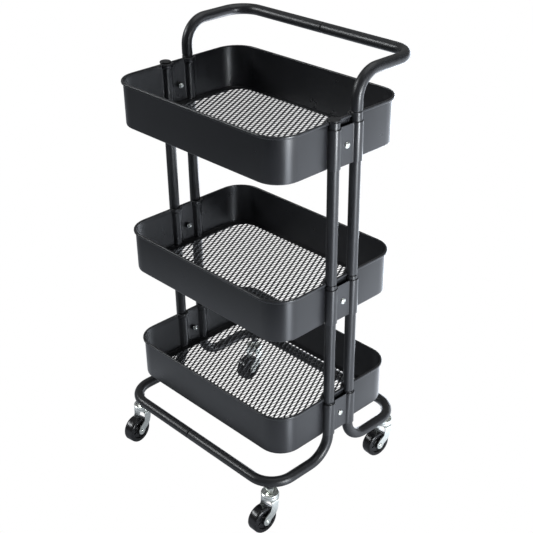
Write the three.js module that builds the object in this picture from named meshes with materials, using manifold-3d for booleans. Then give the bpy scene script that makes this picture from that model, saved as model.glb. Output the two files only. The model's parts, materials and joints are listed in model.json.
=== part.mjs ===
// Three-tier rolling utility cart: pressed steel trays with mesh floors, held between two pairs
// of tube posts by bolted brackets, on a bent tube base with four swivel casters.
// Millimetres, +Z up, floor at z = 0. Left is -X, right is +X, front is -Y, back is +Y.

import * as THREE from 'three';
import { mergeVertices } from 'three/addons/utils/BufferGeometryUtils.js';
import Module from 'manifold-3d';

const wasm = await Module();
wasm.setup();

// ---------------------------------------------------------------- driving dimensions

const GAP = 0.3;                      // clearance between touching pieces

const TUBE_R = 9.5;                   // 19 mm steel tube
const BORE_R = 8.3;
const TUBE_SIDES = 12;
const BEND_STEPS = 4;
const SPIGOT_R = 8.0;                 // swaged end that slides into the next tube
const SPIGOT_BORE_R = 6.8;
const SPIGOT_LENGTH = 22;
const SPIGOT_ROOT = 3;                // swage taper inside the tube's own end
const SMALL_SIDES = 10;               // sides of bolts, stems and axles

const POST_X = 200;                   // post axes
const POST_Y = 25;
const RISER_TOP = 213.5;              // seams between the stacked tubes
const LOWER_POST_TOP = 447.5;
const UPPER_POST_TOP = 731.5;
const CAPPED_POST_TOP = 728;

const BASE_Z = 99;                    // axis of the base ring
const BASE_Y = 165.2;
const BASE_RISER_BEND = 45;
const BASE_CORNER_BEND = 47;
const BASE_SEAM_X = 15;               // long base tubes reach this far past the middle

const GRIP_Z = 790;                   // axis of the handle
const GRIP_Y = 160.3;
const HANDLE_RISER_BEND = 42.5;
const HANDLE_CORNER_BEND = 41;

const TRAY_HALF_X = 197;              // outer faces of the tray walls
const TRAY_HALF_Y = 140.8;
const TRAY_CORNER_R = 42.8;
const TRAY_HEIGHT = 78;
const SHEET = 1;
const BEAD_OUT = 3.2;                 // rolled rim stands out this far
const BEAD_HEIGHT = 5;
const BEAD_ROUND = 1.4;
const FLANGE_SIDE = 10;               // floor flange, along the long walls and the end walls
const FLANGE_END = 16;
const RIDGE_R = TUBE_R + GAP;         // groove pressed into the end walls for each post
const GROOVE_STEPS = 6;
const CORNER_STEPS = 5;
const RIM_TOPS = { bottom: 223.5, middle: 452.5, top: 728.5 };

const FLOOR_HALF_X = 186;             // expanded metal sheet lying on the flange
const FLOOR_HALF_Y = 137;
const FLOOR_CORNER_R = 39;
const FLOOR_THICK = 1.6;

const BRACKET_SHEET = 1.5;
const BRACKET_WEB_X = 204.5;          // outer face of the web, clear of the tray wall
const CHANNEL_STEPS = 7;
const BRACKET_TOP_BELOW_RIM = 12.5;
const BOLT_ABOVE_TRAY = 33;
const BOLT_R = 2.9;
const BOLT_HEAD_R = 5.6;
const BOLT_HEAD_HEIGHT = 3.2;
const BOLT_DOME_TOP_R = 2.8;          // flat top of the domed head
const BOLT_DOME_SIDE_R = 5;           // where the dome's side turns towards the top
const BOLT_DOME_SIDE_HEIGHT = 1.8;
const BOLT_TIP = 9;                   // how far the shank reaches inside the tray wall
const NUT_FLATS = 10;
const NUT_HEIGHT = 5;

const CAP_PLUG_DEPTH = 12;            // plug of a post cap, down inside the bore
const CAP_PLUG_TAPER = 2;
const CAP_OVERHANG = 0.6;             // head wider than the tube
const CAP_EDGE_HEIGHT = 2.6;
const CAP_SHOULDER_HEIGHT = 3.5;
const CAP_HEIGHT = 3.8;

const CASTER_X = 181.5;               // swivel axes
const CASTER_Y = 151;
const CASTER_TURN = { front_left: 9, front_right: -1, back_left: 3, back_right: -5 };
const WHEEL_R = 26;
const WHEEL_HALF_WIDTH = 10.5;
const WHEEL_SIDES = 16;
const TREAD_HALF_WIDTH = 6;           // flat part of the tread
const SHOULDER_R = 22.5;              // wheel profile, from the tread in to the bore
const HUB_RING_R = 18.5;
const HUB_DISH_R = 17.5;
const HUB_FOOT_R = 9.5;
const HUB_R = 8;
const HUB_DISH_DEPTH = 4;
const TRAIL = 19.5;
const AXLE_R = 3;
const AXLE_HEAD_R = 4.6;
const AXLE_HEAD_HEIGHT = 1.5;
const STEM_R = 4.2;
const STEM_TOP = BASE_Z - 2;
const STEM_HEAD_R = 6.7;              // riveted over, under the crown
const STEM_HEAD_HEIGHT = 4;
const COLLAR_R = 7.2;                 // hexagon collar, across its corners
const BOSS_R = 6;                     // threaded boss under the base tube
const BOSS_BOTTOM = 84.5;
const BOSS_TOP = BASE_Z - 3;
const CROWN_BOTTOM = 61;              // top plate of the fork
const CROWN_TOP = 63.2;
const CROWN_R = 15.5;
const FORK_INNER = 13;
const FORK_SHEET = 1.8;
const FORK_END_R = 8;                 // round end of a leg, about the axle
const FORK_END_FROM = 204;            // degrees round the axle covered by the round end
const FORK_END_TO = 378;
const LEG_FRONT = 8.8;                // edges of a leg at the crown, as distances along the trail
const LEG_BACK = -7.5;
const LEG_FRONT_SWEEP = [[24, 38], [13.3, 43], [9.3, 47]];
const LEG_BACK_SWEEP = [[-6.5, 53], [-5.5, 38], [3, 30], [9, 26]];
const RACE_R = 16;
const RACE_TOP = 75;
const RACE_SIDES = 12;
const RACE_WALL = 2;
const RACE_SKIRT = 10.5;              // depth of its side wall
const RACE_PLATE = 7;                 // depth of its underside
const RACE_LIP = 3;                   // width of the raised ring round the dished top
const RACE_DISH_R = 11.5;
const RACE_DISH_DEPTH = 2.5;

const WELD_DISTANCE = 1e-4;           // vertices closer than this are one
const CUTTER_EXTRA = 1;               // how far a cutting tool reaches past what it cuts

const SIDES = { left: -1, right: 1 };
const ENDS = { front: -1, back: 1 };

// The casters trail towards the front, so the cart reaches further that way than its base
// does at the back. The origin is the middle of the whole footprint.
const FRONT_REACH = CASTER_Y + TRAIL + WHEEL_R;
const BACK_REACH = BASE_Y + TUBE_R;
const CENTRE_Y = (FRONT_REACH - BACK_REACH) / 2;

// ---------------------------------------------------------------- materials

function steel(color, roughness, metalness) {
  return new THREE.MeshStandardMaterial({ color, roughness, metalness });
}
const blackCoat = steel(0x1c1c1e, 0.42, 0.2);
const blackPlastic = steel(0x141415, 0.5, 0);
const zinc = steel(0xc8ccca, 0.28, 1);
const tyre = steel(0x101012, 0.45, 0);

// ---------------------------------------------------------------- helpers

const group = new THREE.Group();
group.position.y = CENTRE_Y;

function add(name, geometry, material, parent = group) {
  const mesh = new THREE.Mesh(geometry, material);
  mesh.name = name;
  parent.add(mesh);
  return mesh;
}

function toSolid(geometry) {
  const bare = geometry.clone();
  bare.deleteAttribute('normal');
  bare.deleteAttribute('uv');
  const merged = mergeVertices(bare, WELD_DISTANCE);
  const vertProperties = new Float32Array(merged.attributes.position.array);
  const triVerts = new Uint32Array(merged.index.array);
  return new wasm.Manifold(new wasm.Mesh({ numProp: 3, vertProperties, triVerts }));
}

function toGeometry(solid) {
  const mesh = solid.getMesh();
  const geometry = new THREE.BufferGeometry();
  geometry.setAttribute('position', new THREE.BufferAttribute(mesh.vertProperties, 3));
  geometry.setIndex(new THREE.BufferAttribute(mesh.triVerts, 1));
  geometry.computeVertexNormals();
  return geometry;
}

function join(...geometries) {
  return toGeometry(geometries.map(toSolid).reduce((a, b) => a.add(b)));
}

function cut(geometry, ...tools) {
  return toGeometry(tools.map(toSolid).reduce((a, b) => a.subtract(b), toSolid(geometry)));
}

// Points of an arc, whose chords lie inside the circle.
function arc(cx, cy, radius, from, to, steps) {
  const points = [];
  for (let i = 0; i <= steps; i++) {
    const a = from + (to - from) * i / steps;
    points.push(new THREE.Vector2(cx + radius * Math.cos(a), cy + radius * Math.sin(a)));
  }
  return points;
}

// Points of an arc whose sides touch the circle from outside, so what it holds has room.
function arcAround(cx, cy, radius, from, to, steps) {
  const half = (to - from) / steps / 2;
  const ends = arc(cx, cy, radius, from, to, 1);
  const between = arc(cx, cy, radius / Math.cos(half), from + half, to - half, steps - 1);
  return [ends[0], ...between, ends[1]];
}

function circle(radius, sides) {
  return arc(0, 0, radius, 0, 2 * Math.PI, sides).slice(0, sides);
}

function ringShape(outer, inner) {
  const shape = new THREE.Shape(outer);
  shape.holes.push(new THREE.Path(inner));
  return shape;
}

function extrude(shape, depth, z = 0) {
  const geometry = new THREE.ExtrudeGeometry(shape, { depth, bevelEnabled: false });
  return geometry.translate(0, 0, z);
}

// A solid turned about the Z axis from [radius, z] pairs.
function turned(profile, sides) {
  const points = profile.map(([r, z]) => new THREE.Vector2(r, z));
  return new THREE.LatheGeometry(points, sides).rotateX(Math.PI / 2);
}

// A ring turned about the Z axis: the profile closes on itself.
function turnedRing(profile, sides) {
  return turned([...profile, profile[0]], sides);
}

// A cylinder along Z.
function rod(radius, from, to) {
  return turned([[0, from], [radius, from], [radius, to], [0, to]], SMALL_SIDES);
}

// What was made along Z, laid down along X.
function alongX(geometry) {
  return geometry.rotateY(Math.PI / 2);
}

// ---------------------------------------------------------------- tubes

// A path whose sections sit only where a straight or a bend begins and at even steps
// round each bend.
class StationPath extends THREE.Curve {
  constructor(path, stations) {
    super();
    this.path = path;
    this.stations = stations;
  }

  station(u) {
    return this.stations[Math.round(u * (this.stations.length - 1))];
  }

  getPointAt(u) {
    return this.path.getPointAt(this.station(u));
  }

  getTangentAt(u) {
    return this.path.getTangentAt(this.station(u));
  }
}

class Bend extends THREE.Curve {
  constructor(centre, fromCentre, along) {
    super();
    this.centre = centre;
    this.fromCentre = fromCentre;
    this.along = along;
  }

  getPoint(t) {
    const a = t * Math.PI / 2;
    return this.centre.clone()
      .addScaledVector(this.fromCentre, Math.cos(a))
      .addScaledVector(this.along, Math.sin(a));
  }

  getTangent(t) {
    const a = t * Math.PI / 2;
    return this.fromCentre.clone().multiplyScalar(-Math.sin(a))
      .addScaledVector(this.along, Math.cos(a)).normalize();
  }
}

// The centre line through corner points, with a quarter bend of the given radius at each.
function bentPath(points, radii) {
  const path = new THREE.CurvePath();
  let from = points[0];
  const bends = [];
  radii.forEach((radius, i) => {
    const corner = points[i + 1];
    const before = corner.clone().sub(points[i]).normalize();
    const after = points[i + 2].clone().sub(corner).normalize();
    const start = corner.clone().addScaledVector(before, -radius);
    const centre = start.clone().addScaledVector(after, radius);
    path.add(new THREE.LineCurve3(from, start));
    bends.push(path.curves.length);
    const fromCentre = after.clone().multiplyScalar(-radius);
    const bend = new Bend(centre, fromCentre, before.multiplyScalar(radius));
    path.add(bend);
    from = bend.getPoint(1);
  });
  path.add(new THREE.LineCurve3(from, points[points.length - 1]));

  const lengths = [0, ...path.getCurveLengths()];
  const total = path.getLength();
  const stations = [0];
  path.curves.forEach((curve, i) => {
    const steps = bends.includes(i) ? BEND_STEPS : 1;
    for (let k = 1; k <= steps; k++) {
      stations.push((lengths[i] + (lengths[i + 1] - lengths[i]) * k / steps) / total);
    }
  });
  return new StationPath(path, stations);
}

function bentTube(points, radii) {
  const path = bentPath(points, radii);
  const section = ringShape(circle(TUBE_R, TUBE_SIDES), circle(BORE_R, TUBE_SIDES));
  const steps = path.stations.length - 1;
  return new THREE.ExtrudeGeometry(section, { steps, extrudePath: path });
}

// The swaged end of a tube, pointing along +Z from the tube's end at z = 0.
function spigot() {
  return turnedRing([
    [SPIGOT_BORE_R, -SPIGOT_ROOT],
    [TUBE_R - SHEET / 2, -SPIGOT_ROOT],
    [TUBE_R - SHEET / 2, 0],
    [SPIGOT_R, 0],
    [SPIGOT_R, SPIGOT_LENGTH],
    [SPIGOT_BORE_R, SPIGOT_LENGTH],
  ], TUBE_SIDES);
}

// A straight post with its spigot pointing down into the tube below.
function post(bottom, top) {
  return turnedRing([
    [SPIGOT_BORE_R, bottom - SPIGOT_LENGTH],
    [SPIGOT_R, bottom - SPIGOT_LENGTH],
    [SPIGOT_R, bottom + GAP],
    [TUBE_R, bottom + GAP],
    [TUBE_R, top],
    [BORE_R, top],
    [BORE_R, bottom + SPIGOT_ROOT],
    [SPIGOT_BORE_R, bottom + SPIGOT_ROOT - SHEET],
  ], TUBE_SIDES);
}

// One quarter of the base: a riser, a bend outwards, the side, the corner and half of the
// front or back run. Diagonal corners use the same tube.
function baseTube(side, end) {
  const isLong = side * end < 0;
  const runEnd = isLong ? -side * (BASE_SEAM_X - GAP / 2) : side * (BASE_SEAM_X + GAP / 2);
  const y = end * BASE_Y;
  const x = side * POST_X;
  const points = [
    new THREE.Vector3(x, end * POST_Y, RISER_TOP),
    new THREE.Vector3(x, end * POST_Y, BASE_Z),
    new THREE.Vector3(x, y, BASE_Z),
    new THREE.Vector3(runEnd, y, BASE_Z),
  ];
  const parts = [bentTube(points, [BASE_RISER_BEND, BASE_CORNER_BEND])];
  if (!isLong) {
    parts.push(spigot().rotateY(-side * Math.PI / 2).translate(runEnd, y, BASE_Z));
  }
  const cx = side * CASTER_X;
  const cy = end * CASTER_Y;
  parts.push(rod(BOSS_R, BOSS_BOTTOM, BOSS_TOP).translate(cx, cy, 0));
  const hole = rod(STEM_R + GAP, BOSS_BOTTOM - CUTTER_EXTRA, BOSS_TOP + CUTTER_EXTRA);
  return cut(join(...parts), hole.translate(cx, cy, 0));
}

function handleHalf(side) {
  const y = GRIP_Y;
  const x = side * POST_X;
  const seam = side * GAP / 2;
  const points = [
    new THREE.Vector3(x, POST_Y, UPPER_POST_TOP + GAP),
    new THREE.Vector3(x, POST_Y, GRIP_Z),
    new THREE.Vector3(x, y, GRIP_Z),
    new THREE.Vector3(seam, y, GRIP_Z),
  ];
  const foot = spigot().rotateX(Math.PI).translate(x, POST_Y, UPPER_POST_TOP + GAP);
  const parts = [bentTube(points, [HANDLE_RISER_BEND, HANDLE_CORNER_BEND]), foot];
  if (side < 0) {
    parts.push(spigot().rotateY(Math.PI / 2).translate(seam, y, GRIP_Z));
  }
  return join(...parts);
}

// Plastic plug that closes the top of a front post.
function postCap() {
  const head = TUBE_R + CAP_OVERHANG;
  const plug = BORE_R - GAP;
  const plugEnd = CAPPED_POST_TOP - CAP_PLUG_DEPTH;
  return turned([
    [0, plugEnd],
    [plug - CAP_PLUG_TAPER / 2, plugEnd],
    [plug, plugEnd + CAP_PLUG_TAPER],
    [plug, CAPPED_POST_TOP + GAP],
    [head, CAPPED_POST_TOP + GAP],
    [head, CAPPED_POST_TOP + CAP_EDGE_HEIGHT],
    [head - CAP_SHOULDER_HEIGHT + CAP_EDGE_HEIGHT, CAPPED_POST_TOP + CAP_SHOULDER_HEIGHT],
    [0, CAPPED_POST_TOP + CAP_HEIGHT],
  ], TUBE_SIDES);
}

// ---------------------------------------------------------------- trays

// Plan outline of a tray: a rounded rectangle with a round groove in each end wall for each
// post. The inset is measured inwards from the outer face of the walls.
function trayOutline(inset, grooveR) {
  const x = TRAY_HALF_X - inset;
  const y = TRAY_HALF_Y - inset;
  const r = TRAY_CORNER_R - inset;
  const mouth = Math.acos((x - POST_X) / grooveR);
  return [1, -1].flatMap((s) => {
    const turn = s > 0 ? 0 : Math.PI;
    const from = turn - mouth;
    const to = turn - 2 * Math.PI + mouth;
    return [
      ...arcAround(s * POST_X, -s * POST_Y, grooveR, from, to, GROOVE_STEPS),
      ...arcAround(s * POST_X, s * POST_Y, grooveR, from, to, GROOVE_STEPS),
      ...arc(s * (x - r), s * (y - r), r, turn, turn + Math.PI / 2, CORNER_STEPS),
      ...arc(-s * (x - r), s * (y - r), r, turn + Math.PI / 2, turn + Math.PI, CORNER_STEPS),
    ];
  });
}

function roundedRectangle(halfX, halfY, r) {
  const corners = [[1, 1], [-1, 1], [-1, -1], [1, -1]];
  return corners.flatMap(([sx, sy], i) => {
    const from = i * Math.PI / 2;
    return arc(sx * (halfX - r), sy * (halfY - r), r, from, from + Math.PI / 2, CORNER_STEPS);
  });
}

// The rolled rim, as a solid bead with chamfered edges, notched where the posts pass.
function rimBead(rimTop) {
  const outline = (inset) => roundedRectangle(
    TRAY_HALF_X - inset, TRAY_HALF_Y - inset, TRAY_CORNER_R - inset);
  const shape = ringShape(outline(-BEAD_OUT), outline(SHEET));
  const bead = new THREE.ExtrudeGeometry(shape, {
    depth: BEAD_HEIGHT - 2 * BEAD_ROUND,
    bevelThickness: BEAD_ROUND,
    bevelSize: BEAD_ROUND,
    bevelOffset: -BEAD_ROUND,
    bevelSegments: 1,
  });
  const notches = [1, -1].flatMap((sx) => [1, -1].map((sy) => {
    const notch = new THREE.Shape(
      arcAround(sx * POST_X, sy * POST_Y, RIDGE_R, 0, 2 * Math.PI, TUBE_SIDES));
    const height = BEAD_HEIGHT + 2 * CUTTER_EXTRA;
    return extrude(notch, height, rimTop - BEAD_HEIGHT - CUTTER_EXTRA);
  }));
  return cut(bead.translate(0, 0, rimTop - BEAD_HEIGHT + BEAD_ROUND), ...notches);
}

function tray(rimTop) {
  const bottom = rimTop - TRAY_HEIGHT;
  const outer = trayOutline(0, RIDGE_R);
  const inner = trayOutline(SHEET, RIDGE_R + SHEET);
  const field = roundedRectangle(
    TRAY_HALF_X - FLANGE_END, TRAY_HALF_Y - FLANGE_SIDE, TRAY_CORNER_R - FLANGE_SIDE);
  const wall = extrude(ringShape(outer, inner), TRAY_HEIGHT - BEAD_ROUND, bottom);
  const flange = extrude(ringShape(outer, field), SHEET, bottom);
  const reach = TRAY_HALF_X + CUTTER_EXTRA;
  const boltHoles = alongX(rod(BOLT_R + GAP, -reach, reach))
    .translate(0, 0, bottom + BOLT_ABOVE_TRAY);
  return cut(join(wall, flange, rimBead(rimTop)), boltHoles);
}

function meshFloor(rimTop) {
  const shape = new THREE.Shape(roundedRectangle(FLOOR_HALF_X, FLOOR_HALF_Y, FLOOR_CORNER_R));
  return extrude(shape, FLOOR_THICK, rimTop - TRAY_HEIGHT + SHEET + GAP);
}

// ---------------------------------------------------------------- brackets, bolts and nuts

// These are made for the right end of the cart and turned half round for the left end.

// A flat web with a channel over each post. The channels' outer lips reach the tray wall, and
// the web stands clear of it.
function bracket(rimTop) {
  const lipX = TRAY_HALF_X + GAP;
  const innerR = TUBE_R + GAP;
  const outerR = innerR + BRACKET_SHEET;
  const lipOut = Math.acos((lipX - POST_X) / outerR);
  const lipIn = Math.acos((lipX - POST_X) / innerR);
  const webOut = Math.acos((BRACKET_WEB_X - POST_X) / outerR);
  const webIn = Math.acos((BRACKET_WEB_X - BRACKET_SHEET - POST_X) / innerR);
  const outline = new THREE.Shape([
    ...arc(POST_X, -POST_Y, outerR, -lipOut, webOut, CHANNEL_STEPS),
    ...arc(POST_X, POST_Y, outerR, -webOut, lipOut, CHANNEL_STEPS),
    ...arcAround(POST_X, POST_Y, innerR, lipIn, -webIn, CHANNEL_STEPS),
    ...arcAround(POST_X, -POST_Y, innerR, webIn, -lipIn, CHANNEL_STEPS),
  ]);
  const bottom = rimTop - TRAY_HEIGHT + GAP;
  const height = rimTop - BRACKET_TOP_BELOW_RIM - bottom;
  const holeStart = BRACKET_WEB_X - BRACKET_SHEET - CUTTER_EXTRA;
  const boltHole = alongX(rod(BOLT_R + GAP, holeStart, BRACKET_WEB_X + CUTTER_EXTRA))
    .translate(0, 0, rimTop - TRAY_HEIGHT + BOLT_ABOVE_TRAY);
  return cut(extrude(outline, height, bottom), boltHole);
}

// Domed head outside the web, shank through the web and the wall.
function bolt(rimTop) {
  const tip = TRAY_HALF_X - SHEET - BOLT_TIP;
  const seat = BRACKET_WEB_X + GAP;
  const profile = [
    [0, tip],
    [BOLT_R, tip],
    [BOLT_R, seat],
    [BOLT_HEAD_R, seat],
    [BOLT_DOME_SIDE_R, seat + BOLT_DOME_SIDE_HEIGHT],
    [BOLT_DOME_TOP_R, seat + BOLT_HEAD_HEIGHT],
    [0, seat + BOLT_HEAD_HEIGHT],
  ];
  const z = rimTop - TRAY_HEIGHT + BOLT_ABOVE_TRAY;
  return alongX(turned(profile, SMALL_SIDES)).translate(0, 0, z);
}

// Hexagon nut on the shank, inside the tray wall.
function nut(rimTop) {
  const cornerR = NUT_FLATS / 2 / Math.cos(Math.PI / 6);
  const shape = ringShape(circle(cornerR, 6), circle(BOLT_R + GAP, SMALL_SIDES));
  const z = rimTop - TRAY_HEIGHT + BOLT_ABOVE_TRAY;
  const seat = TRAY_HALF_X - SHEET - GAP;
  return alongX(extrude(shape, NUT_HEIGHT, seat - NUT_HEIGHT)).translate(0, 0, z);
}

// ---------------------------------------------------------------- casters

// Each caster is made about the origin, trailing towards -Y with its axle along X.

// Threaded stem with a hexagon collar above the race and a riveted head under the fork.
function casterStem() {
  const headBottom = CROWN_BOTTOM - STEM_HEAD_HEIGHT;
  const stem = turned([
    [0, headBottom],
    [STEM_HEAD_R, headBottom],
    [STEM_HEAD_R, CROWN_BOTTOM - GAP],
    [STEM_R, CROWN_BOTTOM - GAP],
    [STEM_R, STEM_TOP],
    [0, STEM_TOP],
  ], SMALL_SIDES);
  const collarBottom = RACE_TOP - RACE_DISH_DEPTH + GAP;
  const collarHeight = BOSS_BOTTOM - GAP - collarBottom;
  const collar = extrude(new THREE.Shape(circle(COLLAR_R, 6)), collarHeight, collarBottom);
  return join(stem, collar);
}

// Pressed steel cup that holds the swivel balls, with a dished top.
function swivelRace() {
  const plate = RACE_TOP - RACE_PLATE;
  const skirt = RACE_TOP - RACE_SKIRT;
  const dish = RACE_TOP - RACE_DISH_DEPTH;
  return turnedRing([
    [STEM_R + GAP, plate],
    [RACE_R - RACE_WALL - 1, plate],
    [RACE_R - RACE_WALL, skirt],
    [RACE_R, skirt],
    [RACE_R, RACE_TOP - 1],
    [RACE_R - 1, RACE_TOP],
    [RACE_R - RACE_LIP, RACE_TOP],
    [RACE_DISH_R, dish],
    [STEM_R + GAP, dish],
  ], RACE_SIDES);
}

// One leg of the fork in its own plane: first coordinate along the trail, second the height.
// It comes straight down from the crown and sweeps back to a round end at the axle.
function forkLegOutline() {
  const shape = new THREE.Shape();
  const [backStart, backUpper, backKnee, backLower] = LEG_BACK_SWEEP;
  const [frontLower, frontKnee, frontUpper] = LEG_FRONT_SWEEP;
  const from = THREE.MathUtils.degToRad(FORK_END_FROM);
  const to = THREE.MathUtils.degToRad(FORK_END_TO);
  const endX = TRAIL + FORK_END_R * Math.cos(from);
  const endZ = WHEEL_R + FORK_END_R * Math.sin(from);
  shape.moveTo(LEG_BACK, CROWN_TOP);
  shape.lineTo(...backStart);
  shape.quadraticCurveTo(...backUpper, ...backKnee);
  shape.quadraticCurveTo(...backLower, endX, endZ);
  shape.absarc(TRAIL, WHEEL_R, FORK_END_R, from, to, false);
  shape.quadraticCurveTo(...frontLower, ...frontKnee);
  shape.quadraticCurveTo(...frontUpper, LEG_FRONT, CROWN_TOP);
  return shape;
}

// Bent steel fork: a crown plate with a hole for the stem and a leg each side of the wheel.
function casterFork() {
  const outer = FORK_INNER + FORK_SHEET;
  const roundFrom = Math.acos(outer / CROWN_R);
  const crown = new THREE.Shape();
  crown.moveTo(outer, -LEG_FRONT);
  crown.absarc(0, 0, CROWN_R, roundFrom, Math.PI - roundFrom, false);
  crown.lineTo(-outer, -LEG_FRONT);
  const parts = [new THREE.ExtrudeGeometry(crown, {
    depth: CROWN_TOP - CROWN_BOTTOM, bevelEnabled: false, curveSegments: 4,
  }).translate(0, 0, CROWN_BOTTOM)];
  // Shape x (trail) becomes -Y, shape y stays the height and the depth becomes -X.
  const upright = new THREE.Matrix4().makeBasis(
    new THREE.Vector3(0, -1, 0), new THREE.Vector3(0, 0, 1), new THREE.Vector3(-1, 0, 0));
  for (const x of [-FORK_INNER, outer]) {
    const leg = new THREE.ExtrudeGeometry(forkLegOutline(), {
      depth: FORK_SHEET, bevelEnabled: false, curveSegments: 3,
    });
    parts.push(leg.applyMatrix4(upright).translate(x, 0, 0));
  }
  const stemHole = rod(STEM_R + GAP, CROWN_BOTTOM - CUTTER_EXTRA, CROWN_TOP + CUTTER_EXTRA);
  const holeReach = outer + CUTTER_EXTRA;
  const axleHole = alongX(rod(AXLE_R + GAP, -holeReach, holeReach)).translate(0, -TRAIL, WHEEL_R);
  return cut(join(...parts), stemHole, axleHole);
}

// Rivet through both legs and the hub.
function wheelAxle() {
  const seat = FORK_INNER + FORK_SHEET + GAP;
  const end = seat + AXLE_HEAD_HEIGHT;
  const axle = turned([
    [0, -end],
    [AXLE_HEAD_R, -end],
    [AXLE_HEAD_R, -seat],
    [AXLE_R, -seat],
    [AXLE_R, seat],
    [AXLE_HEAD_R, seat],
    [AXLE_HEAD_R, end],
    [0, end],
  ], SMALL_SIDES);
  return alongX(axle).translate(0, -TRAIL, WHEEL_R);
}

// Tyre and hub in one moulding, with a dished hub each side and a flat of the tread at the
// lowest point.
function wheel() {
  const w = WHEEL_HALF_WIDTH;
  const tread = WHEEL_R / Math.cos(Math.PI / WHEEL_SIDES);
  const half = [
    [AXLE_R + GAP, w],
    [HUB_R, w],
    [HUB_FOOT_R, w - HUB_DISH_DEPTH],
    [HUB_DISH_R, w - HUB_DISH_DEPTH],
    [HUB_RING_R, w],
    [SHOULDER_R, w],
    [tread, TREAD_HALF_WIDTH],
  ];
  const mirrored = half.map(([r, z]) => [r, -z]);
  const body = turnedRing([...mirrored, ...half.reverse()], WHEEL_SIDES);
  const flatDown = Math.PI / WHEEL_SIDES;
  return alongX(body.rotateZ(flatDown)).translate(0, -TRAIL, WHEEL_R);
}

// ---------------------------------------------------------------- assembly

for (const [endName, end] of Object.entries(ENDS)) {
  for (const [sideName, side] of Object.entries(SIDES)) {
    const corner = `${endName}_${sideName}`;
    const x = side * POST_X;
    const y = end * POST_Y;
    const top = end > 0 ? UPPER_POST_TOP : CAPPED_POST_TOP;
    add(`base_tube_${corner}`, baseTube(side, end), blackCoat);
    add(`lower_post_${corner}`, post(RISER_TOP, LOWER_POST_TOP), blackCoat).position.set(x, y, 0);
    add(`upper_post_${corner}`, post(LOWER_POST_TOP, top), blackCoat).position.set(x, y, 0);

    const caster = new THREE.Group();
    caster.position.set(side * CASTER_X, end * CASTER_Y, 0);
    caster.rotation.z = THREE.MathUtils.degToRad(CASTER_TURN[corner]);
    group.add(caster);
    add(`caster_stem_${corner}`, casterStem(), zinc, caster);
    add(`swivel_race_${corner}`, swivelRace(), zinc, caster);
    add(`caster_fork_${corner}`, casterFork(), zinc, caster);
    add(`wheel_axle_${corner}`, wheelAxle(), zinc, caster);
    add(`caster_wheel_${corner}`, wheel(), tyre, caster);
  }
}

for (const [sideName, side] of Object.entries(SIDES)) {
  add(`handle_${sideName}`, handleHalf(side), blackCoat);
  add(`post_cap_${sideName}`, postCap(), blackPlastic)
    .position.set(side * POST_X, ENDS.front * POST_Y, 0);
}

for (const [tier, rimTop] of Object.entries(RIM_TOPS)) {
  add(`tray_${tier}`, tray(rimTop), blackCoat);
  add(`mesh_floor_${tier}`, meshFloor(rimTop), blackCoat);
  for (const [sideName, side] of Object.entries(SIDES)) {
    const end = new THREE.Group();
    end.rotation.z = side > 0 ? 0 : Math.PI;
    group.add(end);
    add(`bracket_${tier}_${sideName}`, bracket(rimTop), blackCoat, end);
    add(`bolt_${tier}_${sideName}`, bolt(rimTop), zinc, end);
    add(`nut_${tier}_${sideName}`, nut(rimTop), zinc, end);
  }
}

export default group;
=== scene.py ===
"""Looks of the three-tier rolling utility cart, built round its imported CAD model.

Shapes are worked out in millimetres, at places read from the CAD nodes, and become metres
when new_piece() makes the mesh. +X is right, +Y is back, +Z is up, the floor is z = 0.
"""

import json
import math

import bmesh
import bpy
from mathutils import Matrix, Vector


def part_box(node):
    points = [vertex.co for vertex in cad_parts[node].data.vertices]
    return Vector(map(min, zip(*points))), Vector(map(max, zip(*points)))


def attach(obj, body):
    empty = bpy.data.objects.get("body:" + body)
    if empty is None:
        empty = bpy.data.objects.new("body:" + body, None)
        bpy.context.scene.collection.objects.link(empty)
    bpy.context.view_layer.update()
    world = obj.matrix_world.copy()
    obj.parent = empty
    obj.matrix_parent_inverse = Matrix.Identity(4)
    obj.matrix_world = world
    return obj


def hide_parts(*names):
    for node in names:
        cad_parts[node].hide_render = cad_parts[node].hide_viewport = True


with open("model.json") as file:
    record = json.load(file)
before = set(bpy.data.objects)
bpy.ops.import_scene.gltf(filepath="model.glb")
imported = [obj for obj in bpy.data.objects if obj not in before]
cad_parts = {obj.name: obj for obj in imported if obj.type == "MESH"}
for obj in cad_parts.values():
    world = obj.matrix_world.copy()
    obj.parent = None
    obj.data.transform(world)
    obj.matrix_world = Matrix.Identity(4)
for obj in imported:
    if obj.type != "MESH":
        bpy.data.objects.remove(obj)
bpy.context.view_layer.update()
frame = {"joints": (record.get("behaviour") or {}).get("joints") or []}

MM = 0.001
PI = math.pi
SIDES = {"left": -1, "right": 1}
ENDS = {"front": -1, "back": 1}
TIERS = ("bottom", "middle", "top")

# Sizes that the CAD nodes' boxes don't give, in millimetres.
TUBE_R = 9.5
BORE_R = 8.3
SPIGOT_R = 8.0
SPIGOT_BORE_R = 6.8
SPIGOT_LENGTH = 22
SEAM_GAP = 0.3
BASE_BENDS = (45, 47)
HANDLE_BENDS = (42.5, 41)
TRAY_CORNER_R = 42.8
SHEET = 1
BEAD_OUT = 3.2
GROOVE_R = 9.8
FLANGE_SIDE = 10
FLANGE_END = 16
FLOOR_CORNER_R = 39
BRACKET_SHEET = 1.2
BRACKET_WEB_OUT = 204.5
BASE_AXIS_Z = 99
BOSS_R = 6.0
BOSS_BORE_R = 4.6
BOSS_EDGE = 0.5
BOSS_TOP = BASE_AXIS_Z - 4

TUBE_SEGMENTS = 40
BEND_SEGMENTS = 14


# ------------ places in the CAD model

def mm_box(node):
    low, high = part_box(node)
    return low / MM, high / MM


def mm_centre(node):
    low, high = mm_box(node)
    return (low + high) / 2


def joint(name):
    return next(j for j in frame["joints"] if j["name"] == name)


# ------------ mesh helpers

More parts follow.
